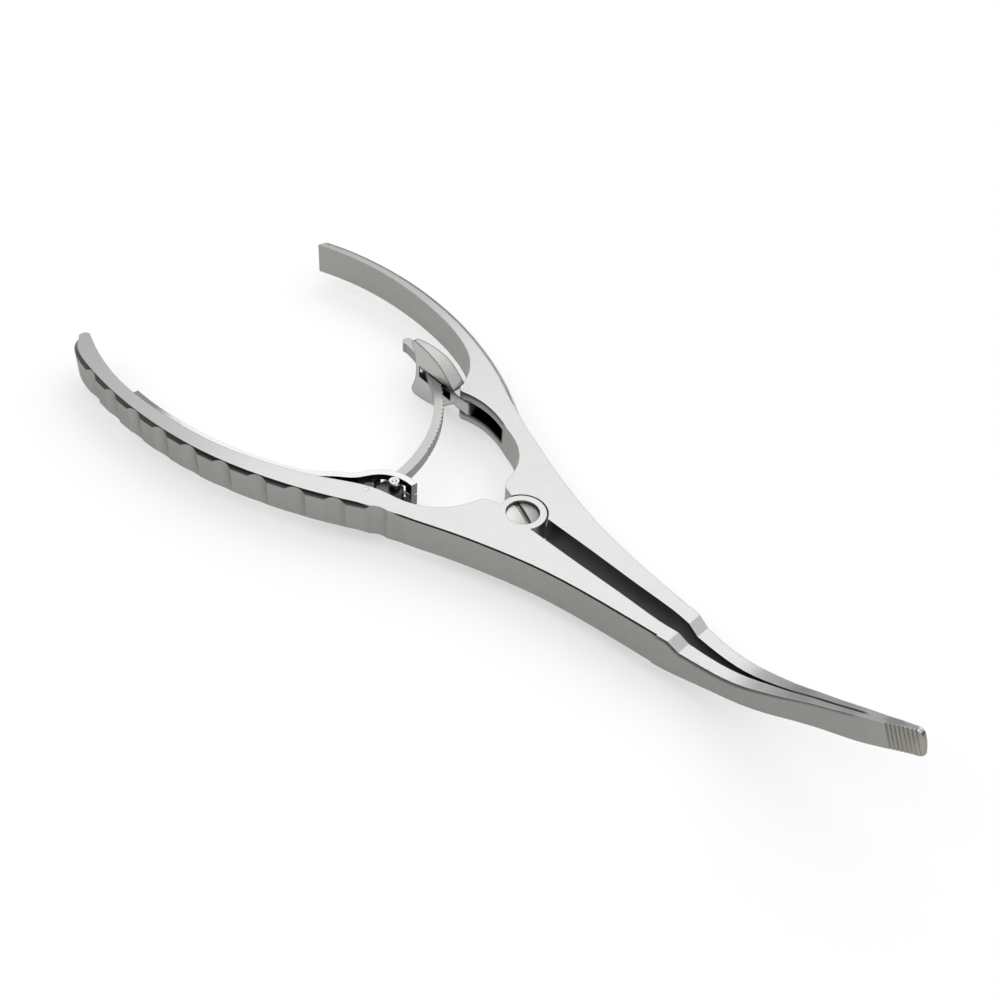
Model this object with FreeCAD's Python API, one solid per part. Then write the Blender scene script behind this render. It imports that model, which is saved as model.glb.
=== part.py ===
import FreeCAD, Part
import math
import os

# Spinal distractor forceps: two levers in a fork joint, an arched ratchet
# bar hinged in the finger lever and a release catch on the thumb lever.
# Millimetres. +X runs from the pivot to the jaw tips, +Y to the thumb lever,
# +Z up along the pivot axis. Z = 0 is the flat underside of the levers.

# Overall size: every drawn outline below is for DRAWN_LENGTH and is scaled
# to OVERALL_LENGTH.
DRAWN_LENGTH = 252.0
OVERALL_LENGTH = 252.0
DRAW = OVERALL_LENGTH / DRAWN_LENGTH

# Levers
LEVER_THICK = 10.0
MID = LEVER_THICK / 2.0
WALL = 2.75
SLOT_LOW = WALL
SLOT_HIGH = LEVER_THICK - WALL
LAYER_PLAY = 0.06
FINGER_BEVEL = 1.0
THUMB_ROUND = 2.0
SHANK_BEVEL = 0.35
JAW_TIP_SLOPE = 26.0

# Pivot
BOSS_R = 6.25
BOSS_GAP = 0.42
TONGUE_R = 6.25
TONGUE_GAP = 0.4
SHANK_R = 2.5
RUN_FIT = 0.04
HEAD_SEAT_R = 4.43
HEAD_GAP = 0.11
HEAD_R = HEAD_SEAT_R - HEAD_GAP
HEAD_SEAT_DEPTH = 1.9
HEAD_RIM = 1.25
HEAD_DOME = 0.55
DRIVE_WIDE = 1.45
DRIVE_DEEP = 1.0
DRIVE_TURN = -22.0

# Finger flutes
FLUTE_COUNT = 10
FLUTE_START = 2.45
FLUTE_PITCH = 11.08
FLUTE_CHORD = 5.9
FLUTE_DEPTH = 0.85

# Jaw serrations
TOOTH_COUNT = 8
TOOTH_PITCH = 0.88
TOOTH_DEPTH = 0.38
TOOTH_STOP = 2.8
TOOTH_FROM_TIP = 2.0

# Ratchet bar: an arc of radius ARC_R through a point above its hinge and
# through the window of the catch, with a foot that turns on the hinge pin
HINGE_X = -33.4 * DRAW
HINGE_Y = -24.2 * DRAW
BAR_ROOT_X = HINGE_X - 0.7
BAR_ROOT_Y = HINGE_Y + 9.7
PASS_X = -59.17 * DRAW
PASS_Y = 24.36 * DRAW
ARC_R = 49.4
BAR_WIDE = 2.7
BAR_HIGH = 3.2
BAR_PAST_CATCH = 18.7
BAR_END_R = 1.6
HINGE_PIN_R = 0.8
FOOT_R = 2.3
FOOT_GAP = 0.45
PRESS_FIT = 0.02
CROSS_X = HINGE_X + 2.1
CROSS_Y = HINGE_Y + 8.1
CROSS_PIN_R = 1.5
CROSS_PIN_LONG = 8.6
FOOT_LOBE_R = 2.5
RATCHET_TOOTH = 0.45
RATCHET_PITCH = 1.75
RATCHET_COUNT = 21
RATCHET_SWING = 26.0

# Leaf spring
SPRING_THICK = 1.9
SPRING_WIDE = 7.6
SPRING_WINDOW = 4.0
SPRING_SLIT = 0.3
RIVET_R = 1.2
RIVET_HEAD_R = 2.0
RIVET_HEAD = 0.55
RIVET_DEEP = 2.6
RIVET_XS = (-101.5 * DRAW, -91.5 * DRAW)

# Release catch
CATCH_X = -45.9 * DRAW
CATCH_Y = 24.5 * DRAW
CATCH_PIN_R = 0.8
CATCH_TONGUE = SLOT_HIGH - SLOT_LOW - 2.0 * LAYER_PLAY
WINDOW_HIGH = 3.9
KNUCKLE_R = 2.9


def vec(x, y, z=0.0):
    return FreeCAD.Vector(x, y, z)


def line(a, b):
    return Part.makeLine(vec(a[0], a[1]), vec(b[0], b[1]))


def curve(points):
    spline = Part.BSplineCurve()
    spline.interpolate([vec(x, y) for x, y in points])
    return spline.toShape()


def arc(a, b, c):
    return Part.Arc(vec(a[0], a[1]), vec(b[0], b[1]), vec(c[0], c[1])).toShape()


def drawn(points):
    return [(x * DRAW, y * DRAW) for x, y in points]


def flip(points, side):
    return [(x, y * side) for x, y in points]


def prism(edges, low, high):
    wire = Part.Wire(Part.__sortEdges__(edges))
    face = Part.Face(wire)
    face.translate(vec(0, 0, low))
    return face.extrude(vec(0, 0, high - low))


def plate(points, low, high):
    wire = Part.makePolygon([vec(x, y, low) for x, y in points + points[:1]])
    return Part.Face(wire).extrude(vec(0, 0, high - low))


def post(x, y, radius, low, high):
    return Part.makeCylinder(radius, high - low, vec(x, y, low))


def joined(shapes):
    body = shapes[0]
    for shape in shapes[1:]:
        body = body.fuse(shape)
    return body.removeSplitter()


# Outer edge from the shoulder behind the pivot to the jaw tip, shared by
# both levers.
TIP_X = 114.6 * DRAW
SHANK_OUTER = drawn([(-22.5, 24.9), (-17.5, 23.2), (-9.0, 19.7),
                     (3.0, 15.4), (17.0, 11.4), (29.0, 9.2),
                     (40.0, 7.75), (52.0, 6.3), (61.0, 5.0),
                     (73.0, 3.85), (83.5, 2.65), (95.0, 1.75),
                     (104.0, 1.32), (108.6, 1.0), (111.0, 0.78),
                     (113.2, 0.56), (114.9, 0.28)])
JAW_INNER = drawn([(86.0, 0.04), (80.0, 0.25), (70.0, 0.72), (60.0, 1.38),
                   (55.0, 1.75), (50.0, 2.4), (40.0, 2.62),
                   (25.0, 2.85), (5.0, 3.0)])
BOSS_SIDE = drawn([(-5.6, 2.0)])[0]
HUMP = drawn([(-8.9, 3.2), (-10.25, 4.1), (-11.0, 5.6)])
THROAT = drawn([(-11.0, 5.6), (-11.9, 8.4), (-13.6, 12.1), (-16.3, 15.5),
                (-20.2, 18.3), (-25.5, 20.4)])
SHOULDER = drawn([(-24.2, 25.7)])[0]
FINGER_OUTER = drawn([(-137.9, 43.2), (-136.0, 45.9), (-132.2, 48.0),
                      (-125.0, 49.6), (-112.0, 50.8), (-98.0, 50.8),
                      (-84.0, 49.5), (-71.0, 47.0), (-55.0, 41.8),
                      (-43.5, 36.8), (-33.0, 31.2)]) + [SHOULDER]
FINGER_INNER = drawn([(-25.5, 20.4), (-29.5, 21.3), (-33.0, 22.5),
                      (-36.8, 24.5), (-43.1, 28.6), (-49.1, 32.2),
                      (-55.8, 35.5), (-63.0, 38.5), (-71.0, 41.3),
                      (-84.0, 44.2), (-98.0, 45.8), (-111.6, 46.0),
                      (-125.0, 43.9), (-136.8, 40.2)])
FINGER_END = drawn([(-138.3, -41.2)])[0]
THUMB_OUTER = drawn([(-128.7, 45.2), (-121.0, 47.3), (-110.3, 49.0),
                     (-97.0, 49.7), (-83.5, 48.8), (-71.0, 46.7),
                     (-55.0, 42.0), (-43.5, 37.2), (-33.0, 31.5)])
THUMB_OUTER = THUMB_OUTER + [SHOULDER]
THUMB_INNER = drawn([(-49.7, 28.4), (-52.5, 32.3), (-56.2, 35.6),
                     (-62.5, 39.0), (-71.5, 42.0), (-84.0, 44.4),
                     (-99.5, 45.5), (-113.5, 44.6), (-130.9, 40.3)])
THUMB_END = drawn([(-130.25, 42.95)])[0]
THUMB_EAR = drawn([(-25.5, 20.4), (-32.5, 22.9), (-39.0, 23.7),
                   (-45.4, 22.7)])
EAR_TIP = drawn([(-47.5, 23.6), (-47.9, 25.2)])
JAW_TOP = drawn([(110.6, 28.0), (107.6, 26.5), (104.2, 24.7),
                 (98.5, 22.0), (93.6, 19.5), (88.0, 16.85), (83.0, 14.2),
                 (78.0, 12.0), (72.8, 9.95), (67.0, 8.6), (61.0, 8.2),
                 (56.2, 8.3)])
JAW_LOW = drawn([(50.0, 0.0), (56.5, 0.45), (64.7, 1.9), (72.6, 3.6),
                 (79.8, 5.9), (86.8, 9.1), (93.7, 12.1), (100.5, 14.9),
                 (106.8, 18.25), (112.4, 21.3)])
JAW_CORNERS = drawn([(113.8, 21.95), (114.45, 22.9), (113.9, 24.9),
                     (112.5, 27.7), (111.5, 28.25)])
STEP_X = 53.0 * DRAW
GRIP_END_X = 50.0 * DRAW
GRIP_SIDE_Y = 0.5 * DRAW
BACK_X = -160.0 * DRAW
BEYOND_Y = 80.0 * DRAW


def bar_centre():
    # Centre of the arc of radius ARC_R through the root and the pass point,
    # on the side of the handle ends.
    mid_x = (BAR_ROOT_X + PASS_X) / 2.0
    mid_y = (BAR_ROOT_Y + PASS_Y) / 2.0
    dx = PASS_X - BAR_ROOT_X
    dy = PASS_Y - BAR_ROOT_Y
    chord = math.hypot(dx, dy)
    sag = math.sqrt(ARC_R ** 2 - chord ** 2 / 4.0)
    return mid_x - dy / chord * sag, mid_y + dx / chord * sag


ARC_X, ARC_Y = bar_centre()


def lever_side(side):
    # Side view of a lever: flat handle, a step, then a jaw that sweeps up
    # and deepens towards its tip.
    tip_low, corner_low, bulge, corner_top, tip_top = JAW_CORNERS
    edges = [curve(JAW_LOW),
             arc(JAW_LOW[-1], tip_low, corner_low),
             arc(corner_low, bulge, corner_top),
             arc(corner_top, tip_top, JAW_TOP[0]),
             curve(JAW_TOP),
             line(JAW_TOP[-1], (STEP_X, LEVER_THICK)),
             line((STEP_X, LEVER_THICK), (BACK_X, LEVER_THICK)),
             line((BACK_X, LEVER_THICK), (BACK_X, 0.0)),
             line((BACK_X, 0.0), JAW_LOW[0])]
    body = prism(edges, 0.0, 60.0)
    body.rotate(vec(0, 0), vec(1, 0), 90)
    if side > 0:
        body.translate(vec(0, 60, 0))
    return body


def pivot_edges(side):
    shank = flip(SHANK_OUTER, side)
    inner = flip(JAW_INNER, side)
    throat = flip(THROAT, side)
    hump = flip(HUMP, side)
    boss_side = (BOSS_SIDE[0], BOSS_SIDE[1] * side)
    tip = (shank[-1][0], inner[0][1])
    return [line((SHOULDER[0], SHOULDER[1] * side), shank[0]),
            curve(shank),
            line(shank[-1], tip),
            line(tip, inner[0]),
            curve(inner),
            line(inner[-1], boss_side),
            line(boss_side, hump[0]),
            arc(hump[0], hump[1], hump[2]),
            curve(throat)]


def finger_outline():
    outer = flip(FINGER_OUTER, -1)
    inner = flip(FINGER_INNER, -1)
    end = arc(inner[-1], FINGER_END, outer[0])
    return pivot_edges(-1) + [curve(outer), curve(inner), end]


def thumb_outline():
    outer = THUMB_OUTER
    inner = THUMB_INNER
    tip = arc(THUMB_EAR[-1], EAR_TIP[0], EAR_TIP[1])
    neck = line(EAR_TIP[1], inner[0])
    end = arc(inner[-1], THUMB_END, outer[0])
    return pivot_edges(1) + [curve(outer), curve(inner), curve(THUMB_EAR),
                             tip, neck, end]


def edges_between(body, start, stop):
    # The level edges of a body that join two corners of its outline.
    picked = []
    for edge in body.Edges:
        ends = [(v.X, v.Y) for v in edge.Vertexes]
        if len(ends) != 2 or edge.BoundBox.ZLength > 0.01:
            continue
        for one, two in (ends, ends[::-1]):
            if math.dist(one, start) + math.dist(two, stop) < 0.01:
                picked.append(edge)
    return picked


def soften_shank(blank, side):
    # A narrow bevel along the outer edges of the shank.
    shank = flip(SHANK_OUTER, side)
    edges = edges_between(blank, shank[0], shank[-1])
    return blank.makeChamfer(SHANK_BEVEL, edges)


def flute_cutters():
    radius = (FLUTE_CHORD ** 2 / 4.0 + FLUTE_DEPTH ** 2) / (2 * FLUTE_DEPTH)
    path = curve(flip(FINGER_OUTER, -1))
    length = path.Length
    cutters = []
    for index in range(FLUTE_COUNT):
        along = length - FLUTE_START - index * FLUTE_PITCH
        param = path.getParameterByLength(along)
        point = path.valueAt(param)
        tangent = path.tangentAt(param)
        outward = vec(tangent.y, -tangent.x)
        if outward.y > 0:
            outward = outward * -1
        centre = point + outward * (radius - FLUTE_DEPTH)
        cutters.append(post(centre.x, centre.y, radius, -1.0,
                            LEVER_THICK + 1.0))
    return cutters


def serration_cutters(side):
    # V grooves across the outer face of a jaw, square to its sweep. The
    # thumb jaw keeps a plain upper edge.
    lean = math.radians(JAW_TIP_SLOPE)
    cutters = []
    for index in range(TOOTH_COUNT):
        x = TIP_X - TOOTH_FROM_TIP - index * TOOTH_PITCH
        z = 24.6 * DRAW - index * TOOTH_PITCH * math.tan(lean)
        outer = 1.32 * DRAW - 0.068 * (x - 104.0 * DRAW)
        half = TOOTH_PITCH * 0.48 / math.cos(lean)
        deep = outer - TOOTH_DEPTH
        points = [vec(-half, outer + 0.25, -8), vec(half, outer + 0.25, -8),
                  vec(0, deep, -8), vec(-half, outer + 0.25, -8)]
        long = 16.0 if side < 0 else 8.0 + TOOTH_STOP
        groove = Part.Face(Part.makePolygon(points)).extrude(vec(0, 0, long))
        if side < 0:
            groove = groove.mirror(vec(0, 0), vec(0, 1, 0))
        groove.rotate(vec(0, 0), vec(0, 1, 0), -JAW_TIP_SLOPE)
        groove.translate(vec(x, 0, z))
        cutters.append(groove)
    return cutters


def foot_shape(grow, low, high, turn=0.0):
    # Foot of the ratchet bar around its hinge, widened by grow.
    hub = post(HINGE_X, HINGE_Y, FOOT_R + grow, low, high)
    lobe = post(CROSS_X, CROSS_Y, FOOT_LOBE_R + grow, low, high)
    dx = CROSS_X - HINGE_X
    dy = CROSS_Y - HINGE_Y
    span = math.hypot(dx, dy)
    nx = -dy / span
    ny = dx / span
    a = FOOT_R + grow
    b = FOOT_LOBE_R + grow
    web = plate([(HINGE_X + nx * a, HINGE_Y + ny * a),
                 (CROSS_X + nx * b, CROSS_Y + ny * b),
                 (CROSS_X - nx * b, CROSS_Y - ny * b),
                 (HINGE_X - nx * a, HINGE_Y - ny * a)], low, high)
    root = post(HINGE_X - 0.1, CROSS_Y - 2.2, 1.7 + grow, low, high)
    body = joined([hub, lobe, web, root])
    body.rotate(vec(HINGE_X, HINGE_Y), vec(0, 0, 1), turn)
    return body


def grip_zone(low_y, high_y):
    # Everything behind the step, where the lever has its full thickness.
    return Part.makeBox(GRIP_END_X - BACK_X, high_y - low_y,
                        LEVER_THICK + 2.0, vec(BACK_X, low_y, -1.0))


def lever_blank(outline, side):
    return prism(outline, -1.0, 40.0).common(lever_side(side))


def make_finger_lever():
    blank = prism(finger_outline(), 0.0, LEVER_THICK)
    outer = flip(FINGER_OUTER, -1)
    edges = edges_between(blank, outer[0], outer[-1])
    blank = blank.makeChamfer(FINGER_BEVEL, edges)
    blank = soften_shank(blank, -1)
    jaw = lever_blank(finger_outline(), -1)
    zone = grip_zone(-BEYOND_Y, BOSS_R)
    body = joined([blank.common(zone), jaw.cut(zone)])
    body = body.fuse(post(0, 0, BOSS_R, 0.0, LEVER_THICK)).removeSplitter()
    pocket = post(0, 0, TONGUE_R + TONGUE_GAP, SLOT_LOW, SLOT_HIGH)
    body = body.cut(pocket)
    bore = post(0, 0, SHANK_R + PRESS_FIT, -1.0, LEVER_THICK + 1.0)
    seat = post(0, 0, HEAD_SEAT_R, LEVER_THICK - HEAD_SEAT_DEPTH,
                LEVER_THICK + 1.0)
    body = body.cut(bore).cut(seat)
    for cutter in flute_cutters():
        body = body.cut(cutter)
    for cutter in serration_cutters(-1):
        body = body.cut(cutter)
    low = MID - BAR_HIGH / 2.0 - 0.15
    high = MID + BAR_HIGH / 2.0 + 0.15
    for step in range(3):
        turn = RATCHET_SWING * step / 2.0
        body = body.cut(foot_shape(FOOT_GAP, low, high, turn))
    body = body.cut(post(HINGE_X, HINGE_Y, HINGE_PIN_R + PRESS_FIT, -1.0,
                         LEVER_THICK + 1.0))
    for x in RIVET_XS:
        body = body.cut(rivet_shape(x, RIVET_R + PRESS_FIT, 0.0, True))
    return body


def make_thumb_lever():
    blank = prism(thumb_outline(), 0.0, LEVER_THICK)
    edges = edges_between(blank, THUMB_OUTER[0], THUMB_OUTER[-1])
    end_wall = math.dist(THUMB_OUTER[0], THUMB_INNER[-1])
    blank = blank.makeFillet(min(THUMB_ROUND, 0.38 * end_wall), edges)
    blank = soften_shank(blank, 1)
    jaw = lever_blank(thumb_outline(), 1)
    zone = grip_zone(GRIP_SIDE_Y, BEYOND_Y)
    body = joined([blank.common(zone), jaw.cut(zone)])
    clear = BOSS_R + BOSS_GAP
    body = body.cut(post(0, 0, clear, SLOT_HIGH, LEVER_THICK + 1.0))
    body = body.cut(post(0, 0, clear, -1.0, SLOT_LOW))
    tongue = post(0, 0, TONGUE_R, SLOT_LOW + LAYER_PLAY,
                  SLOT_HIGH - LAYER_PLAY)
    body = body.cut(post(0, 0, TONGUE_R, SLOT_LOW - 0.01,
                         SLOT_HIGH + 0.01))
    body = body.fuse(tongue)
    for low, high in ((SLOT_LOW - 0.01, SLOT_LOW + LAYER_PLAY),
                      (SLOT_HIGH - LAYER_PLAY, SLOT_HIGH + 0.01)):
        body = body.cut(post(0, 0, clear, low, high))
    body = body.cut(post(0, 0, SHANK_R + RUN_FIT, -1.0, LEVER_THICK))
    pocket = plate(drawn([(-60.0, 10.0), (-29.2, 10.0), (-28.6, 26.0),
                          (-41.5, 30.0), (-52.0, 30.8), (-60.0, 29.0)]),
                   SLOT_LOW, SLOT_HIGH)
    body = body.cut(pocket)
    body = body.cut(post(CATCH_X, CATCH_Y, CATCH_PIN_R + PRESS_FIT, -1.0,
                         LEVER_THICK + 1.0))
    for cutter in serration_cutters(1):
        body = body.cut(cutter)
    return body


def make_pivot_screw():
    seat = LEVER_THICK - HEAD_SEAT_DEPTH
    shank = post(0, 0, SHANK_R, 0.0, seat + 0.02)
    under = seat + 0.02
    head = post(0, 0, HEAD_R, under, under + HEAD_RIM)
    ball_r = (HEAD_R ** 2 + HEAD_DOME ** 2) / (2.0 * HEAD_DOME)
    ball = Part.makeSphere(ball_r, vec(0, 0, under + HEAD_RIM + HEAD_DOME
                                       - ball_r))
    cap = ball.common(post(0, 0, HEAD_R, under + HEAD_RIM, LEVER_THICK + 2))
    screw = joined([shank, head, cap])
    drive = Part.makeBox(12.0, DRIVE_WIDE, 3.0,
                         vec(-6.0, -DRIVE_WIDE / 2.0,
                             under + HEAD_RIM + HEAD_DOME - DRIVE_DEEP))
    drive.rotate(vec(0, 0), vec(0, 0, 1), DRIVE_TURN)
    return screw.cut(drive)


def ring_sector(inner, outer, start, stop, low, high):
    def at(radius, deg):
        turn = math.radians(deg)
        return (ARC_X + radius * math.cos(turn),
                ARC_Y + radius * math.sin(turn))
    half = (start + stop) / 2.0
    edges = [arc(at(outer, start), at(outer, half), at(outer, stop)),
             line(at(outer, stop), at(inner, stop)),
             arc(at(inner, stop), at(inner, half), at(inner, start)),
             line(at(inner, start), at(outer, start))]
    return prism(edges, low, high)


def make_ratchet_bar():
    low = MID - BAR_HIGH / 2.0
    high = MID + BAR_HIGH / 2.0
    start = math.degrees(math.asin((CROSS_Y - 1.5 - ARC_Y) / ARC_R))
    cross = math.degrees(math.atan2(PASS_Y - ARC_Y, PASS_X - ARC_X))
    stop = cross + math.degrees(BAR_PAST_CATCH / ARC_R)
    bar = ring_sector(ARC_R - BAR_WIDE / 2.0, ARC_R + BAR_WIDE / 2.0,
                      start, stop, low, high)
    turn = math.radians(stop)
    end = post(ARC_X + ARC_R * math.cos(turn), ARC_Y + ARC_R * math.sin(turn),
               BAR_END_R, low, high)
    bar = joined([bar, end, foot_shape(0.0, low, high)])
    outer = ARC_R + BAR_WIDE / 2.0
    step = math.degrees(RATCHET_PITCH / outer)
    for index in range(RATCHET_COUNT):
        first = cross + 4.0 - (index + 1) * step
        tooth = []
        for deg, radius in ((first, outer + 0.3),
                            (first, outer - RATCHET_TOOTH),
                            (first + step * 0.92, outer + 0.3)):
            angle = math.radians(deg)
            tooth.append((ARC_X + radius * math.cos(angle),
                          ARC_Y + radius * math.sin(angle)))
        bar = bar.cut(plate(tooth, low - 1.0, high + 1.0))
    bar = bar.cut(post(HINGE_X, HINGE_Y, HINGE_PIN_R + RUN_FIT, 0, 10))
    bar = bar.cut(post(CROSS_X, CROSS_Y, CROSS_PIN_R + PRESS_FIT, 0, 10))
    return bar


def make_ratchet_hinge_pin():
    return post(HINGE_X, HINGE_Y, HINGE_PIN_R, 0.0, LEVER_THICK)


def make_cross_pin():
    low = MID - CROSS_PIN_LONG / 2.0 + 0.2
    top = low + CROSS_PIN_LONG
    pin = post(CROSS_X, CROSS_Y, CROSS_PIN_R, low, top)
    rims = [edge for edge in pin.Edges if edge.BoundBox.ZLength < 0.01]
    pin = pin.makeChamfer(0.18, rims)
    dimple = Part.makeCone(0.3, 0.8, 0.2, vec(CROSS_X, CROSS_Y, top - 0.2))
    return pin.cut(dimple)


# Middle line of the leaf spring: along the handle, then a hump that clears
# the cross pin and is set out from the hinge of the ratchet bar.
SPRING_PATH = drawn([(-107.0, -44.95), (-98.0, -44.75), (-84.0, -43.05),
                     (-71.0, -40.05), (-58.0, -35.15), (-50.0, -30.95),
                     (-45.6, -27.05), (-43.2, -24.65)])
SPRING_HUMP = [(-7.8, 1.25), (-6.2, 3.35), (-4.9, 5.95), (-3.2, 8.25),
               (-0.7, 10.15), (2.5, 11.3), (6.2, 11.5)]
SPRING_PATH += [(HINGE_X + x, HINGE_Y + y) for x, y in SPRING_HUMP]


def spring_band(thick, low, high):
    half = thick / 2.0
    path = Part.BSplineCurve()
    path.interpolate([vec(x, y) for x, y in SPRING_PATH])
    sides = []
    for sign in (1.0, -1.0):
        points = []
        for step in range(41):
            share = step / 40.0
            param = path.FirstParameter + share * (path.LastParameter
                                                   - path.FirstParameter)
            point = path.value(param)
            tangent = path.tangent(param)[0]
            points.append((point.x - sign * half * tangent.y,
                           point.y + sign * half * tangent.x))
        sides.append(points)
    left, right = sides
    return prism([curve(left), line(left[-1], right[-1]), curve(right),
                  line(left[0], right[0])], low, high)


def rivet_shape(x, radius, above, deep):
    # A rivet body square to the grip at x, from inside the handle up to the
    # inner face of the leaf spring.
    path = curve(SPRING_PATH)
    param = path.getParameterByLength(x - SPRING_PATH[0][0])
    point = path.valueAt(param)
    tangent = path.tangentAt(param)
    normal = vec(-tangent.y, tangent.x)
    reach = RIVET_DEEP + SPRING_THICK + above
    base = point - normal * (SPRING_THICK / 2.0 + RIVET_DEEP)
    base.z = MID
    if deep:
        reach = RIVET_DEEP + SPRING_THICK / 2.0
    return Part.makeCylinder(radius, reach, base, normal)


def make_leaf_spring():
    low = MID - SPRING_WIDE / 2.0
    high = MID + SPRING_WIDE / 2.0
    band = spring_band(SPRING_THICK, low, high)
    left = HINGE_X - 4.0
    window = Part.makeBox(7.8, 9.0, SPRING_WINDOW,
                          vec(left, HINGE_Y + 4.2, MID - SPRING_WINDOW / 2.0))
    slit = Part.makeBox(8.0, 9.0, SPRING_SLIT,
                        vec(left + 5.4, HINGE_Y + 4.2,
                            MID - SPRING_SLIT / 2.0))
    band = band.cut(window).cut(slit)
    for x in RIVET_XS:
        band = band.cut(rivet_shape(x, RIVET_R + PRESS_FIT, 2.0, False))
    return band


def make_spring_rivets():
    rivets = []
    for x in RIVET_XS:
        shank = rivet_shape(x, RIVET_R, 0.02, False)
        top = rivet_shape(x, RIVET_HEAD_R, RIVET_HEAD, False)
        under = rivet_shape(x, RIVET_HEAD_R + 1.0, 0.02, False)
        rivets.append(shank.fuse(top.cut(under)).removeSplitter())
    return Part.makeCompound(rivets)


def catch_front():
    # The finger pad seen square on: it flares from the tongue to two horns.
    half = [(-49.9, 2.5), (-51.3, 3.7), (-53.0, 5.1), (-55.5, 6.9),
            (-59.0, 8.4), (-63.3, 9.4), (-66.8, 9.75)]
    upper = [(x * DRAW, MID + h) for x, h in half]
    lower = [(x * DRAW, MID - h) for x, h in half]
    horn_x = -68.6 * DRAW
    end_x = -68.5 * DRAW
    saddle_x = -66.8 * DRAW
    horn_up = arc(upper[-1], (horn_x, MID + 9.0), (end_x, MID + 7.2))
    horn_low = arc(lower[-1], (horn_x, MID - 9.0), (end_x, MID - 7.2))
    saddle = arc((end_x, MID + 7.2), (saddle_x, MID), (end_x, MID - 7.2))
    root = line(upper[0], lower[0])
    body = prism([curve(upper), horn_up, saddle, horn_low, curve(lower),
                  root], 0.0, 20.0 * DRAW)
    body.rotate(vec(0, 0), vec(1, 0), 90)
    body.translate(vec(0, 36.0 * DRAW, 0))
    return body


def catch_plan():
    back = drawn([(-50.2, 27.9), (-55.0, 28.0), (-59.0, 27.7),
                  (-62.5, 27.1), (-66.4, 26.2), (-69.0, 25.4)])
    front = drawn([(-69.0, 24.5), (-60.0, 23.9), (-50.0, 23.2)])
    root = drawn([(-49.6, 23.2), (-49.6, 27.9)])
    edges = [curve(back), line(back[-1], front[0]), curve(front),
             line(front[-1], root[0]), line(root[0], root[1]),
             line(root[1], back[0])]
    return prism(edges, -8.0, 18.0)


def make_release_catch():
    low = MID - CATCH_TONGUE / 2.0
    high = MID + CATCH_TONGUE / 2.0
    pad = catch_plan().common(catch_front())
    tongue = plate(drawn([(-51.0, 23.25), (-47.0, 22.95), (-42.8, 22.6),
                          (-42.2, 26.6), (-46.0, 27.6), (-51.0, 27.9)]),
                   low, high)
    knuckle = post(CATCH_X, CATCH_Y, KNUCKLE_R, low, high)
    knuckle = knuckle.common(plate(drawn([(-52.0, 22.9), (-40.0, 22.6),
                                          (-40.0, 30.0), (-52.0, 30.0)]),
                                   low, high))
    body = joined([pad, tongue, knuckle])
    half = WINDOW_HIGH / 2.0
    window = plate([(PASS_X + x * DRAW, PASS_Y + y * DRAW) for x, y in
                    ((-5.0, -2.3), (-5.0, -0.5), (-10.3, 2.0), (-6.8, 5.6),
                     (-2.3, 5.6), (0.8, 2.0), (2.6, 1.35), (7.7, 1.0),
                     (8.3, -2.3))], MID - half, MID + half)
    body = body.cut(window)
    return body.cut(post(CATCH_X, CATCH_Y, CATCH_PIN_R + RUN_FIT, 0, 10))


def make_catch_pin():
    return post(CATCH_X, CATCH_Y, CATCH_PIN_R, 0.0, LEVER_THICK)


def make_catch_spring():
    # A bent strip in the blind end of the catch pocket.
    points = drawn([(-29.6, 24.2), (-33.5, 26.6), (-37.5, 27.4),
                    (-41.4, 27.3)])
    outer = [(x, y + 0.5) for x, y in points]
    foot = drawn([(-29.35, 23.9), (-29.35, 24.9)])
    edges = [curve(points), line(points[-1], outer[-1]), curve(outer),
             line(outer[0], foot[1]), line(foot[1], foot[0]),
             line(foot[0], points[0])]
    return prism(edges, MID - 1.5, MID + 1.5)


def main():
    os.makedirs("parts", exist_ok=True)
    parts = {
        "finger_lever": make_finger_lever(),
        "thumb_lever": make_thumb_lever(),
        "pivot_screw": make_pivot_screw(),
        "ratchet_bar": make_ratchet_bar(),
        "ratchet_hinge_pin": make_ratchet_hinge_pin(),
        "cross_pin": make_cross_pin(),
        "leaf_spring": make_leaf_spring(),
        "spring_rivets": make_spring_rivets(),
        "release_catch": make_release_catch(),
        "catch_pin": make_catch_pin(),
        "catch_spring": make_catch_spring(),
    }
    for name, shape in parts.items():
        shape.exportStep("parts/" + name + ".step")
        print(name, round(shape.Volume, 1), shape.isValid(),
              len(shape.Solids))


main()
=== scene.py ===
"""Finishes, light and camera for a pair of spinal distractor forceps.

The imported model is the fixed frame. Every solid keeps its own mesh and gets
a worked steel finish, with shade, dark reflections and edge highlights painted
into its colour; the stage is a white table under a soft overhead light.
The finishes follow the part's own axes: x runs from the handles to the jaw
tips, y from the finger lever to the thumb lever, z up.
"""

import math

import bpy
from bpy.props import FloatProperty, FloatVectorProperty, PointerProperty
from mathutils import Matrix, Vector


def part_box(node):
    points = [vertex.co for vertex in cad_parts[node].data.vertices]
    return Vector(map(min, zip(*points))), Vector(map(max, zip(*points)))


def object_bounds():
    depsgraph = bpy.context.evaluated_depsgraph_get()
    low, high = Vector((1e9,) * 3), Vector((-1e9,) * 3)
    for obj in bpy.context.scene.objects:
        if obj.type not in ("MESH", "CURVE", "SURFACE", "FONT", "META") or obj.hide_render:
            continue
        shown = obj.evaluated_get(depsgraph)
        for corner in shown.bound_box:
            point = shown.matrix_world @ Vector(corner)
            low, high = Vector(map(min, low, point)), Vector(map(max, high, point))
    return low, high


bl_info = {
    "name": "Distractor Forceps Finishes",
    "version": (1, 0, 0),
    "blender": (4, 5, 0),
    "location": "3D View > Sidebar > Forceps",
    "description": "Steel finishes, soft light and camera for the forceps",
    "category": "Object",
}

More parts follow.
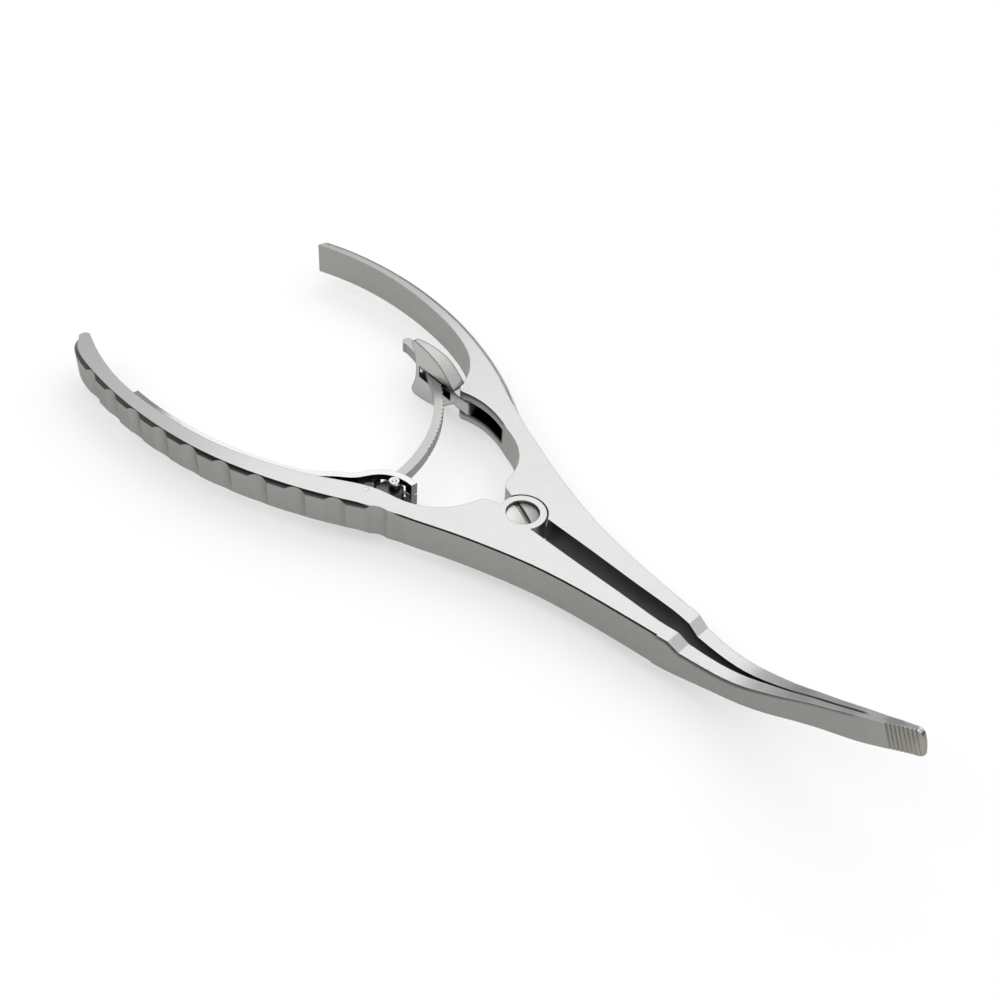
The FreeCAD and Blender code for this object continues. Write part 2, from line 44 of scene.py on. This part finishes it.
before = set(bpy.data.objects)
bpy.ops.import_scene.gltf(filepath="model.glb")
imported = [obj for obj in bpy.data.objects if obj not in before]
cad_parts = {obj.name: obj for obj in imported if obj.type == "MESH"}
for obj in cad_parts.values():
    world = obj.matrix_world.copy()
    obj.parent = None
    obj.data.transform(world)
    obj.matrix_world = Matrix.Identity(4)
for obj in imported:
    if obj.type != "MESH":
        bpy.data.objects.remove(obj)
CAD_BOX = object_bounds()
MM = 0.001
WHITE = (1.0, 1.0, 1.0)

# The levers' middle height, and how steeply the jaws sweep up.
LAYER_MIDDLE = 5.0 * MM
JAW_SWEEP = math.radians(26.0)

# Places on the levers, in millimetres: where a change of the finish or of the
# painted shade and highlights starts and where it ends. A name with BEHIND
# counts from the pivot to the handles.
JAWS_BEGIN = (4.0, 9.0)
HANDLE_BEGINS = (30.0, 45.0)
THUMB_SIDE = (0.0, 1.0)
FINGER_SIDE = (-2.0, 0.0)
ROUNDED_EDGE = (2.6, 3.2)
HANDLE_SHADE_BEHIND = (52.0, 92.0)
BEVEL_FADES_BEHIND = (66.0, 104.0)
BEVEL_TOP = (3.9, 4.7)
GROOVES = (104.6, 105.0)
JAW_TIP = (111.6, 112.4)
EDGE_HIGHLIGHT_DIMS = (102.0, 106.0)
EDGE_LINE_THINS = (66.0, 90.0)
JAW_EDGE_LINE = (48.0, 100.0)
EAR_EDGE_LINE = (-49.0, -27.0)
EAR_SIDE = (18.0, 20.0)
JAW_GAP_SHADE = (76.0, 101.0)
GAP_SHADE_HALF = (0.2, 0.4)
SPRING_SHADE_BEHIND = (90.0, 99.0)

# Hollows, in millimetres: the range of x, the range of y, and where the
# hollow ends above and below the levers' middle.
# These hollows are painted dark as shade.
CATCH_POCKET = ((-54.0, -28.0), (21.0, 31.3), (2.3, 2.5))
FOOT_POCKET = ((-40.0, -30.3), (-28.0, -9.0), (1.75, 1.9))
CATCH_WINDOW = ((-70.0, -51.2), (20.5, 27.0), (1.96, 2.02))

# The stage, in metres.
CAMERA_SPOT = (0.1521, -0.1802, 0.2363)
CAMERA_RIGHT = (0.7099, 0.7021, 0.0560)
CAMERA_BACK = (0.4831, -0.5433, 0.6867)
LAMP_SPOT = (-0.42, 0.50, 0.78)
LAMP_SIDE = 0.75
TABLE_GLOW = 0.45
CARD_COUNT = 48
CARD_RING = 1.3
CARD_FOOT = 0.10
CARD_TOP = 0.62
CARD_RISE = 0.50
LOW_CARD_AT = math.radians(132.0)


class ForcepsFinish(bpy.types.PropertyGroup):
    """Colours and grain of the steel."""

    ground_colour: FloatVectorProperty(
        name="Ground faces",
        description="Colour of the flat faces of the levers",
        subtype="COLOR", size=3, min=0.0, max=1.0,
        default=(0.86, 0.86, 0.855))
    # The flanks' darker colour is partly their blasted finish and partly painted shade.
    flank_colour: FloatVectorProperty(
        name="Flanks",
        description="Colour of the upright sides of the levers",
        subtype="COLOR", size=3, min=0.0, max=1.0,
        default=(0.36, 0.358, 0.34))
    grip_colour: FloatVectorProperty(
        name="Tooth bite",
        description="Colour of the grooved ends of the jaws",
        subtype="COLOR", size=3, min=0.0, max=1.0,
        default=(0.30, 0.29, 0.26))
    # Painted shade: this dark colour is painted into recesses, gaps, dark edges, the bevel
    # and shaded sides, where shade and dark reflections fall.
    painted_shade_colour: FloatVectorProperty(
        name="Inside faces",
        description="Colour where the polishing wheel does not reach",
        subtype="COLOR", size=3, min=0.0, max=1.0,
        default=(0.035, 0.036, 0.042))
    bar_colour: FloatVectorProperty(
        name="Ratchet bar",
        description="Colour of the bead-blasted ratchet bar and catch",
        subtype="COLOR", size=3, min=0.0, max=1.0,
        default=(0.66, 0.655, 0.64))
    screw_colour: FloatVectorProperty(
        name="Screw",
        description="Colour of the turned screw head",
        subtype="COLOR", size=3, min=0.0, max=1.0,
        default=(0.66, 0.645, 0.625))
    mirror_colour: FloatVectorProperty(
        name="Leaf spring",
        description="Colour of the polished leaf spring",
        subtype="COLOR", size=3, min=0.0, max=1.0,
        default=(0.86, 0.86, 0.86))
    satin: FloatProperty(
        name="Satin roughness",
        description="Roughness of the satin steel",
        default=0.34, min=0.05, max=1.0)
    grain: FloatProperty(
        name="Grain size",
        description="Size of one grain of the blasted surface",
        subtype="DISTANCE", unit="LENGTH",
        default=0.35 * MM, min=0.05 * MM, max=5.0 * MM)
    edge: FloatProperty(
        name="Edge softness",
        description="Radius to which the edges are broken",
        subtype="DISTANCE", unit="LENGTH",
        default=0.22 * MM, min=0.0, max=1.0 * MM)


class ForcepsStage(bpy.types.PropertyGroup):
    """Camera, lamp, room and table."""

    focal_length: FloatProperty(
        name="Focal length",
        description="Camera focal length in millimetres",
        default=45.85, min=10.0, max=300.0)
    soft_light: FloatProperty(
        name="Overhead light",
        description="Power of the soft lamp over the table in watts",
        default=0.5, min=0.0, max=500.0)
    room_light: FloatProperty(
        name="Room light",
        description="Strength of the even light from all round",
        default=1.5, min=0.0, max=10.0)
    table_colour: FloatVectorProperty(
        name="Table",
        description="Colour of the white table",
        subtype="COLOR", size=3, min=0.0, max=1.0,
        default=(0.96, 0.96, 0.96))
    table_size: FloatProperty(
        name="Table size",
        description="Side of the square table",
        subtype="DISTANCE", unit="LENGTH",
        default=12.0, min=1.0, max=100.0)


class Wire:
    """One socket of a shader; arithmetic on it adds Math nodes."""

    def __init__(self, graph, socket):
        self.graph = graph
        self.socket = socket

    def math(self, operation, *values):
        return self.graph.add("ShaderNodeMath", {"operation": operation},
                              dict(enumerate(values)))

    def __add__(self, other):
        return self.math("ADD", self, other)

    def __radd__(self, other):
        return self.math("ADD", other, self)

    def __sub__(self, other):
        return self.math("SUBTRACT", self, other)

    def __rsub__(self, other):
        return self.math("SUBTRACT", other, self)

    def __mul__(self, other):
        return self.math("MULTIPLY", self, other)

    def __rmul__(self, other):
        return self.math("MULTIPLY", other, self)

    def __neg__(self):
        return self.math("MULTIPLY", self, -1.0)

    def __abs__(self):
        return self.math("ABSOLUTE", self)

    def at_least(self, other):
        return self.math("MAXIMUM", self, other)

    def at_most(self, other):
        return self.math("MINIMUM", self, other)

    def clipped(self, low, high):
        """0 at low, 1 at high and a smooth run between them."""
        return self.graph.add(
            "ShaderNodeMapRange", {"interpolation_type": "SMOOTHSTEP"},
            {"Value": self, "From Min": low, "From Max": high})

    def rising(self, low, high):
        """For a length: 0 up to low mm and 1 from high mm."""
        return self.clipped(low * MM, high * MM)

    def falling(self, low, high):
        """For a length: 1 up to low mm and 0 from high mm."""
        return 1.0 - self.rising(low, high)

    def between(self, low, high, run=0.4):
        """For a length: 1 from low mm to high mm, with ends run mm long."""
        return self.rising(low, low + run) * self.falling(high - run, high)


class Graph:
    """The node tree of a material or world, with one way to add a node."""

    def __init__(self, owner):
        self.owner = owner
        owner.use_nodes = True
        self.tree = owner.node_tree
        self.tree.nodes.clear()

    def add(self, kind, settings=None, sockets=None, out=0):
        node = self.tree.nodes.new(kind)
        for name, value in (settings or {}).items():
            setattr(node, name, value)
        for name, value in (sockets or {}).items():
            if isinstance(value, Wire):
                self.tree.links.new(value.socket, node.inputs[name])
            else:
                node.inputs[name].default_value = value
        if not node.outputs:
            return node
        return Wire(self, node.outputs[out])

    def split(self, vector):
        return [self.add("ShaderNodeSeparateXYZ", {}, {0: vector}, out=part)
                for part in range(3)]

    def position(self):
        return self.add("ShaderNodeTexCoord", out="Object")

    def noise(self, size, detail, roughness, stretch=(1, 1, 1)):
        """Noise whose blobs are about size metres across."""
        place = self.add("ShaderNodeMapping", {"vector_type": "POINT"},
                         {"Vector": self.position(), "Scale": stretch})
        return self.add("ShaderNodeTexNoise", {}, {
            "Vector": place, "Scale": 1.0 / size, "Detail": detail,
            "Roughness": roughness}, out="Fac")

    def mix(self, share, one, two):
        return self.add("ShaderNodeMix", {"data_type": "RGBA"},
                        {0: share, 6: rgba(one), 7: rgba(two)}, out=2)

    def shaded(self, colour, factor):
        """A colour multiplied by a grey that varies."""
        grey = self.add("ShaderNodeCombineColor", {},
                        {0: factor, 1: factor, 2: factor})
        return self.add("ShaderNodeMix",
                        {"data_type": "RGBA", "blend_type": "MULTIPLY"},
                        {0: 1.0, 6: rgba(colour), 7: grey}, out=2)

    def facing(self, axis):
        """How far the face looks along x, y or z, from -1 to 1."""
        normal = self.add("ShaderNodeNewGeometry", out="True Normal")
        return self.split(normal)[axis]

    def upward(self):
        """How far the face looks up or down, from 0 to 1."""
        return abs(self.facing(2))

    def outward(self):
        """How far the face looks away from the thumb lever, from -1 to 1."""
        return -self.facing(1)

    def edge_normal(self, radius):
        return self.add("ShaderNodeBevel", {"samples": 6},
                        {"Radius": radius})

    def edge_mask(self, soft_normal):
        """1 along broken edges, 0 on the faces."""
        normal = self.add("ShaderNodeNewGeometry", out="Normal")
        dot = self.add("ShaderNodeVectorMath",
                       {"operation": "DOT_PRODUCT"},
                       {0: normal, 1: soft_normal}, out="Value")
        return 1.0 - dot.clipped(0.80, 0.995)

    def bump(self, height, distance, strength, normal):
        return self.add("ShaderNodeBump", {}, {
            "Height": height, "Distance": distance, "Strength": strength,
            "Normal": normal})

    def metal(self, colour, roughness, normal):
        shader = self.add("ShaderNodeBsdfPrincipled", {}, {
            "Base Color": colour, "Roughness": roughness,
            "Normal": normal, "Metallic": 1.0})
        self.add("ShaderNodeOutputMaterial", {}, {"Surface": shader})
        return self.owner

    def mixed_shaders(self, share, one, two):
        return self.add("ShaderNodeMixShader", {}, {0: share, 1: one, 2: two})


def rgba(colour):
    if isinstance(colour, Wire):
        return colour
    return (*colour, 1.0)


def new_graph(name):
    return Graph(bpy.data.materials.new(name))


def off_middle(z):
    """Distance above or below the middle of the levers."""
    return abs(z - LAYER_MIDDLE)


def hollow(x, y, z, ranges):
    """1 inside one of the hollows listed at the top, 0 outside it."""
    along, across, half = ranges
    return (x.between(*along) * y.between(*across)
            * off_middle(z).falling(*half))


def painted_recess_shade(g, x, y, z):
    """1 between the jaws and in the pockets: painted shade where these recesses lie in
    shadow.
    """
    towards_middle = -(y * g.facing(1))
    between_jaws = (towards_middle.rising(0.0, 0.6)
                    * x.rising(*JAWS_BEGIN) * 0.85)
    pockets = hollow(x, y, z, CATCH_POCKET).at_least(
        hollow(x, y, z, FOOT_POCKET))
    return between_jaws.at_least(pockets)


def painted_bevel_shade(g, level, x, z):
    """1 on the bevel along the finger lever's outer edge, painted dark as a dark
    reflection, 0 elsewhere.
    """
    tilted = level.clipped(0.35, 0.55) * (1.0 - level.clipped(0.80, 0.90))
    fade = 1.0 - (-x).rising(*BEVEL_FADES_BEHIND) * 0.82
    darker_above = 0.35 + 0.65 * off_middle(z).rising(*BEVEL_TOP)
    return g.outward().clipped(0.25, 0.45) * tilted * fade * darker_above


def painted_edge_line(g, finish, level, x, y):
    """Painted dark reflection: 1 in a line just under the top edge of the jaws and of the
    ears.
    """
    near_top = g.split(g.edge_normal(finish.edge * 10.0))[2]
    thinner = x.rising(*EDGE_LINE_THINS) * 0.35
    upright = 1.0 - level.clipped(0.2, 0.4)
    ears = x.between(*EAR_EDGE_LINE, run=2.0) * y.rising(*EAR_SIDE)
    return ((near_top - thinner).clipped(0.05, 0.18) * upright
            * g.outward().clipped(0.3, 0.6)
            * (x.between(*JAW_EDGE_LINE, run=3.0) + ears))


def lever_flatness(g, level, x, y, z):
    """1 on the ground faces and the thumb handle's rounded edges."""
    rounded = (y.rising(*THUMB_SIDE) * g.facing(1).clipped(0.1, 0.4)
               * off_middle(z).rising(*ROUNDED_EDGE)
               * x.falling(*HANDLE_BEGINS))
    return (level + rounded).clipped(0.76, 0.92)


def lever_shade(g, finish, cloud):
    """Clouds, grain and small pits of the levers' steel."""
    blur = g.noise(2.6 * MM, 3.0, 0.6)
    speck = g.noise(finish.grain * 2.2, 2.0, 0.7)
    pits = g.noise(0.55 * MM, 1.0, 0.4).clipped(0.70, 0.76)
    return (0.90 + cloud * 0.12 + (blur - 0.5) * 0.08
            + (speck - 0.5) * 0.07 - pits * 0.16)


def lever_steel(name, finish):
    """Ground faces, flanks both blasted and painted darker as shade, and a dull grooved
    tip.
    """
    g = new_graph(name)
    soft = g.edge_normal(finish.edge)
    edges = g.edge_mask(soft)
    ahead, _, lifted = g.split(soft)
    x, y, z = g.split(g.position())
    level = g.upward()
    flat = lever_flatness(g, level, x, y, z)
    cloud = g.noise(9.0 * MM, 4.0, 0.6)
    shade = lever_shade(g, finish, cloud)

    # Painted shade: the ground faces darker towards the handle ends.
    painted_shade_behind = 1.0 - (-x).rising(*HANDLE_SHADE_BEHIND) * 0.22
    ground = g.shaded(finish.ground_colour, shade * painted_shade_behind)
    # Painted shade on the finger lever's flanks: faces that look towards the handle end
    # darker, those towards the jaws lighter.
    painted_flute_shade = ahead.clipped(-0.75, 0.55) * 0.42 - 0.42
    # The flanks are darker partly by their blasted finish and partly as painted shade.
    flank = g.shaded(finish.flank_colour, shade * (
        1.0 + y.falling(*FINGER_SIDE) * painted_flute_shade))
    colour = g.mix(flat, flank, ground)

    along_sweep = x * math.cos(JAW_SWEEP) + z * math.sin(JAW_SWEEP)
    grooved = along_sweep.rising(*GROOVES) * (1.0 - flat)
    # Painted shade on the grooves: walls that look towards the tips lighter, those towards
    # the handles darker.
    painted_groove_shade = 0.28 + g.facing(0).clipped(-0.5, 0.4)
    colour = g.mix(grooved, colour,
                   g.shaded(finish.grip_colour, shade * painted_groove_shade))
    tip = x.rising(*JAW_TIP)
    colour = g.mix(tip, colour, g.shaded(finish.grip_colour, shade * 1.2))

    # Painted highlight along the upper edges, partly polish on the broken edges; it dims
    # towards the jaw tips.
    painted_edge_highlight = (edges * (1.0 - tip) * lifted.clipped(0.25, 0.6)
           * (1.0 - x.rising(*EDGE_HIGHLIGHT_DIMS) * 0.7))
    colour = g.mix(painted_edge_highlight * 0.75, colour, finish.ground_colour)
    # Painted dark reflection on the upright edges.
    painted_dark_edges = edges * (1.0 - lifted.clipped(0.0, 0.3))
    # Painted shade on the top faces along the gap between the two jaws.
    painted_gap_shade = (flat * abs(y).falling(*GAP_SHADE_HALF)
            * x.between(*JAW_GAP_SHADE, run=2.0))
    # Painted shade and dark reflections: upright edges, a line under the top edge, the gap
    # between the jaws, the bevel and the recesses.
    for dark in (painted_dark_edges * 0.45, painted_edge_line(g, finish, level, x, y),
                 painted_gap_shade, painted_bevel_shade(g, level, x, z), painted_recess_shade(g, x, y, z)):
        colour = g.mix(dark, colour, finish.painted_shade_colour)

    rough = (finish.satin + (1.0 - flat) * 0.08 + (cloud - 0.5) * 0.16
             - edges * 0.12)
    grain = g.noise(finish.grain, 2.0, 0.6)
    return g.metal(colour, rough, g.bump(grain, 0.02 * MM, 0.35, soft))


def blasted_surface(g, finish, radius, side, shadow_below):
    """Fine speckled satin: its colour, edge mask, roughness and normal.

    The edges are broken to radius, upright faces take the painted shade side,
    and below the y given in millimetres as the last argument the steel is
    painted in shadow.
    """
    soft = g.edge_normal(radius)
    edges = g.edge_mask(soft)
    cloud = g.noise(4.0 * MM, 3.0, 0.55)
    speck = g.noise(finish.grain * 1.2, 2.0, 0.75)
    flat = g.upward().clipped(0.25, 0.7)
    # Painted shade: upright faces darker, down to side, flat faces bright.
    shade = (side + flat * (0.98 - side) + cloud * 0.12
             + (speck - 0.5) * (0.16 + flat * 0.30))
    across = g.split(g.position())[1]
    # Painted shadow over the low part of the steel.
    painted_shadow = across.falling(shadow_below - 0.8, shadow_below)
    colour = g.shaded(finish.bar_colour, shade * (1.0 - painted_shadow * 0.72))
    rough = finish.satin + 0.04 + (speck - 0.5) * 0.20 - edges * 0.12
    return colour, edges, rough, g.bump(speck, 0.03 * MM, 0.45, soft)


def bar_steel(name, finish):
    """The ratchet bar: faint painted highlights on the edges, its foot painted in shadow.
    """
    g = new_graph(name)
    colour, edges, rough, normal = blasted_surface(
        g, finish, radius=finish.edge * 0.7, side=0.33, shadow_below=-13.0)
    # Painted highlight, faint, on the bar's edges.
    colour = g.mix(edges * 0.25, colour, finish.ground_colour)
    return g.metal(colour, rough, normal)


def catch_steel(name, finish):
    """The release catch: edges and the opening for the bar painted dark as shade."""
    g = new_graph(name)
    colour, edges, rough, normal = blasted_surface(
        g, finish, radius=finish.edge * 3.0, side=0.66, shadow_below=0.0)
    window = (hollow(*g.split(g.position()), CATCH_WINDOW)
              * (1.0 - g.outward().clipped(0.3, 0.6)))
    # Painted shade on the edges and in the opening for the bar.
    for dark in (edges, window):
        colour = g.mix(dark, colour, finish.painted_shade_colour)
    return g.metal(colour, rough, normal)


def turned_steel(name, finish, head_top):
    """Domed screw head painted bright on one side and dark on the other, with a deep slot
    whose walls and floor are painted in shade and light.
    """
    g = new_graph(name)
    soft = g.edge_normal(finish.edge * 0.5)
    edges = g.edge_mask(soft)
    cloud = g.noise(3.5 * MM, 2.0, 0.5)
    across = g.facing(0) + g.facing(1)
    level = g.upward()
    # Painted light and shade: the dome lighter on faces that look towards -x and -y,
    # darker on the others.
    dome = g.shaded(finish.screw_colour, 0.86 + cloud * 0.10 - across * 1.35)
    # Painted shade on one slot wall and painted highlight on the other.
    painted_slot_walls = g.mix(across.clipped(-0.1, 0.1), finish.painted_shade_colour,
                      finish.ground_colour)
    colour = g.mix(level.clipped(0.5, 0.7), painted_slot_walls, dome)
    depth = g.split(g.position())[2] - head_top
    # Painted shade on the slot's floor.
    painted_slot_shade = depth.falling(-0.95, -0.85) * level.clipped(0.9, 0.95)
    colour = g.mix(painted_slot_shade, colour, finish.grip_colour)
    # Painted highlight on the broken edges.
    colour = g.mix(edges * 0.5, colour, finish.ground_colour)
    rough = 0.25 + (cloud - 0.5) * 0.10 - edges * 0.06
    return g.metal(colour, rough, g.bump(cloud, 0.03 * MM, 0.2, soft))


def flush_pin_steel(name, finish):
    """Pin ends ground flush, with fine straight lines."""
    g = new_graph(name)
    soft = g.edge_normal(finish.edge * 0.4)
    lines = g.noise(0.16 * MM, 2.0, 0.6, stretch=(0.2, 1.0, 1.0))
    colour = g.shaded(finish.ground_colour, 0.90 + lines * 0.14)
    rough = 0.30 + (lines - 0.5) * 0.16
    return g.metal(colour, rough, g.bump(lines, 0.01 * MM, 0.3, soft))


def mirror_steel(name, finish, base, haze, side_colour, end_colour,
                 bright_above=1.0):
    """Buffed steel with long faint wipes, and duller upright faces.

    Upright faces that look outward take side_colour, those that look along
    x take end_colour, and those above bright_above in z stay bright. Darker
    side and end colours are painted shade.
    """
    g = new_graph(name)
    soft = g.edge_normal(finish.edge * 0.6)
    wipes = g.noise(1.6 * MM, 3.0, 0.6, stretch=(0.12, 0.12, 1.0))
    cloud = g.noise(7.0 * MM, 2.0, 0.5)
    x, _, z = g.split(g.position())
    # Painted shade: the steel darker towards the rear end.
    painted_shade_behind = 1.0 - (-x).rising(*SPRING_SHADE_BEHIND) * 0.62
    colour = g.shaded(finish.mirror_colour, (0.94 + cloud * 0.08) * painted_shade_behind)
    # Painted shade on the upright faces.
    upright = ((1.0 - g.upward().clipped(0.35, 0.6))
               * (z - bright_above).falling(-0.1, 0.0))
    colour = g.mix(upright * g.outward().clipped(-0.15, 0.15), colour,
                   side_colour)
    colour = g.mix(upright * g.facing(0).clipped(0.75, 0.9), colour,
                   end_colour)
    rough = base + (wipes - 0.4) * haze + cloud * 0.03
    return g.metal(colour, rough, g.bump(cloud, 0.05 * MM, 0.25, soft))


def dress(material, *nodes):
    for node in nodes:
        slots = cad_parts[node].material_slots
        if not slots:
            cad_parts[node].data.materials.append(material)
        for slot in slots:
            slot.material = material


class FORCEPS_OT_levers(bpy.types.Operator):
    """Finish the two levers"""

    bl_idname = "forceps.levers"
    bl_label = "Levers"

    def execute(self, context):
        finish = context.scene.forceps_finish
        dress(lever_steel("lever_steel", finish),
              "finger_lever", "thumb_lever")
        return {"FINISHED"}


class FORCEPS_OT_screw(bpy.types.Operator):
    """Finish the pivot screw"""

    bl_idname = "forceps.screw"
    bl_label = "Pivot screw"

    def execute(self, context):
        finish = context.scene.forceps_finish
        head_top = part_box("pivot_screw")[1].z
        dress(turned_steel("screw_steel", finish, head_top), "pivot_screw")
        return {"FINISHED"}


class FORCEPS_OT_ratchet(bpy.types.Operator):
    """Finish the ratchet bar and the release catch"""

    bl_idname = "forceps.ratchet"
    bl_label = "Ratchet bar and catch"

    def execute(self, context):
        finish = context.scene.forceps_finish
        dress(bar_steel("bar_steel", finish), "ratchet_bar")
        dress(catch_steel("catch_steel", finish), "release_catch")
        return {"FINISHED"}


class FORCEPS_OT_pins(bpy.types.Operator):
    """Finish the pins"""

    bl_idname = "forceps.pins"
    bl_label = "Pins"

    def execute(self, context):
        finish = context.scene.forceps_finish
        dress(flush_pin_steel("flush_pin_steel", finish),
              "ratchet_hinge_pin", "catch_pin")
        # Painted shade: the cross pin's upright sides take the dark shade colour.
        dark = finish.painted_shade_colour
        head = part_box("cross_pin")[1].z - 0.7 * MM
        dress(mirror_steel("cross_pin_steel", finish, 0.10, 0.06,
                           dark, dark, bright_above=head), "cross_pin")
        return {"FINISHED"}


class FORCEPS_OT_springs(bpy.types.Operator):
    """Finish the springs and the rivets"""

    bl_idname = "forceps.springs"
    bl_label = "Springs and rivets"

    def execute(self, context):
        finish = context.scene.forceps_finish
        # Painted shade on the spring's cut end, and the shade colour on its outward sides.
        painted_end_shade = [0.5 * part for part in finish.flank_colour]
        dress(mirror_steel("spring_steel", finish, 0.07, 0.07,
                           finish.painted_shade_colour, painted_end_shade),
              "leaf_spring", "catch_spring")
        bright = finish.mirror_colour
        dress(mirror_steel("rivet_steel", finish, 0.18, 0.1,
                           bright, bright), "spring_rivets")
        return {"FINISHED"}


def place_camera(stage):
    data = bpy.data.cameras.new("photo_camera")
    data.lens = stage.focal_length
    data.sensor_width = 36.0
    data.clip_start = 0.01
    camera = bpy.data.objects.new("photo_camera", data)
    right = Vector(CAMERA_RIGHT).normalized()
    back = Vector(CAMERA_BACK).normalized()
    up = back.cross(right).normalized()
    turn = Matrix((right, up, back)).transposed().to_4x4()
    camera.matrix_world = Matrix.Translation(CAMERA_SPOT) @ turn
    bpy.context.scene.collection.objects.link(camera)
    bpy.context.scene.camera = camera


def place_lamp(stage):
    """A soft square lamp that looks at the pivot."""
    data = bpy.data.lights.new("overhead_soft", "AREA")
    data.shape = "SQUARE"
    data.size = LAMP_SIDE
    data.energy = stage.soft_light
    lamp = bpy.data.objects.new("overhead_soft", data)
    aim = (-Vector(LAMP_SPOT)).to_track_quat("-Z", "Y")
    lamp.matrix_world = (Matrix.Translation(LAMP_SPOT)
                         @ aim.to_matrix().to_4x4())
    bpy.context.scene.collection.objects.link(lamp)


def white_where_seen(g):
    """1 for camera, mirror and clear rays, 0 for the light on the object."""
    path = "ShaderNodeLightPath"
    seen = g.add(path, out="Is Camera Ray") + g.add(path, out="Is Glossy Ray")
    seen = seen + g.add(path, out="Is Transmission Ray")
    return seen.at_most(1.0)


def table_material(stage):
    g = new_graph("table_white")
    matt = g.add("ShaderNodeBsdfDiffuse", {},
                 {"Color": rgba(stage.table_colour), "Roughness": 0.6})
    glow = g.add("ShaderNodeEmission", {}, {"Strength": 1.0})
    both = g.mixed_shaders(white_where_seen(g) * TABLE_GLOW, matt, glow)
    g.add("ShaderNodeOutputMaterial", {}, {"Surface": both})
    return g.owner


def card_material():
    g = new_graph("grey_card")
    matt = g.add("ShaderNodeBsdfDiffuse", {},
                 {"Color": rgba((0.05, 0.05, 0.05))})
    g.add("ShaderNodeOutputMaterial", {}, {"Surface": matt})
    return g.owner


def mesh_object(name, points, faces, material):
    mesh = bpy.data.meshes.new(name)
    mesh.from_pydata(points, [], faces)
    mesh.materials.append(material)
    made = bpy.data.objects.new(name, mesh)
    bpy.context.scene.collection.objects.link(made)
    return made


def lay_table(stage):
    low = CAD_BOX[0].z
    half = stage.table_size / 2.0
    points = [(-half, -half, low), (half, -half, low),
              (half, half, low), (-half, half, low)]
    mesh_object("table", points, [(0, 1, 2, 3)], table_material(stage))


def stand_cards():
    """A ring of dark cards round the table, for contrast in the steel."""
    turns = [2.0 * math.pi * index / CARD_COUNT
             for index in range(CARD_COUNT)]
    foot = [CARD_FOOT] * CARD_COUNT
    top = [CARD_TOP + CARD_RISE * (0.5 - 0.5 * math.cos(turn - LOW_CARD_AT))
           for turn in turns]
    points = [(CARD_RING * math.cos(turn), CARD_RING * math.sin(turn), height)
              for row in (foot, top) for turn, height in zip(turns, row)]
    faces = []
    for index in range(CARD_COUNT):
        after = (index + 1) % CARD_COUNT
        faces.append((index, after, CARD_COUNT + after, CARD_COUNT + index))
    ring = mesh_object("dark_cards", points, faces, card_material())
    ring.visible_camera = False
    ring.visible_shadow = False


def light_world(stage):
    """White to the camera, pale in mirrors, and an even light elsewhere."""
    world = bpy.data.worlds.new("studio")
    bpy.context.scene.world = world
    g = Graph(world)
    room, mirrored, white = [
        g.add("ShaderNodeBackground", {},
              {"Color": rgba(colour), "Strength": strength})
        for colour, strength in ((WHITE, stage.room_light),
                                 ((0.8, 0.8, 0.8), 1.0), (WHITE, 1.0))]
    light = g.mixed_shaders(white_where_seen(g), room, mirrored)
    camera = g.add("ShaderNodeLightPath", out="Is Camera Ray")
    g.add("ShaderNodeOutputWorld", {},
          {"Surface": g.mixed_shaders(camera, light, white)})


class FORCEPS_OT_stage(bpy.types.Operator):
    """Set up the camera, the lamp, the room and the table"""

    bl_idname = "forceps.stage"
    bl_label = "Stage"

    def execute(self, context):
        stage = context.scene.forceps_stage
        place_camera(stage)
        lay_table(stage)
        stand_cards()
        light_world(stage)
        place_lamp(stage)
        context.scene.view_settings.view_transform = "Standard"
        return {"FINISHED"}


STEPS = ("levers", "screw", "ratchet", "pins", "springs", "stage")


class FORCEPS_PT_panel(bpy.types.Panel):
    """The forceps' steps in the sidebar"""

    bl_label = "Forceps"
    bl_idname = "FORCEPS_PT_panel"
    bl_space_type = "VIEW_3D"
    bl_region_type = "UI"
    bl_category = "Forceps"

    def draw(self, context):
        for step in STEPS:
            self.layout.operator("forceps." + step)
        for group in ("forceps_finish", "forceps_stage"):
            settings = getattr(context.scene, group)
            for name in settings.__annotations__:
                self.layout.prop(settings, name)


CLASSES = (ForcepsFinish, ForcepsStage, FORCEPS_OT_levers, FORCEPS_OT_screw,
           FORCEPS_OT_ratchet, FORCEPS_OT_pins, FORCEPS_OT_springs,
           FORCEPS_OT_stage, FORCEPS_PT_panel)


def register():
    for cls in CLASSES:
        bpy.utils.register_class(cls)
    bpy.types.Scene.forceps_finish = PointerProperty(type=ForcepsFinish)
    bpy.types.Scene.forceps_stage = PointerProperty(type=ForcepsStage)


def unregister():
    del bpy.types.Scene.forceps_stage
    del bpy.types.Scene.forceps_finish
    for cls in reversed(CLASSES):
        bpy.utils.unregister_class(cls)


def main():
    register()
    for step in STEPS:
        getattr(bpy.ops.forceps, step)()


if __name__ == "__main__":
    main()
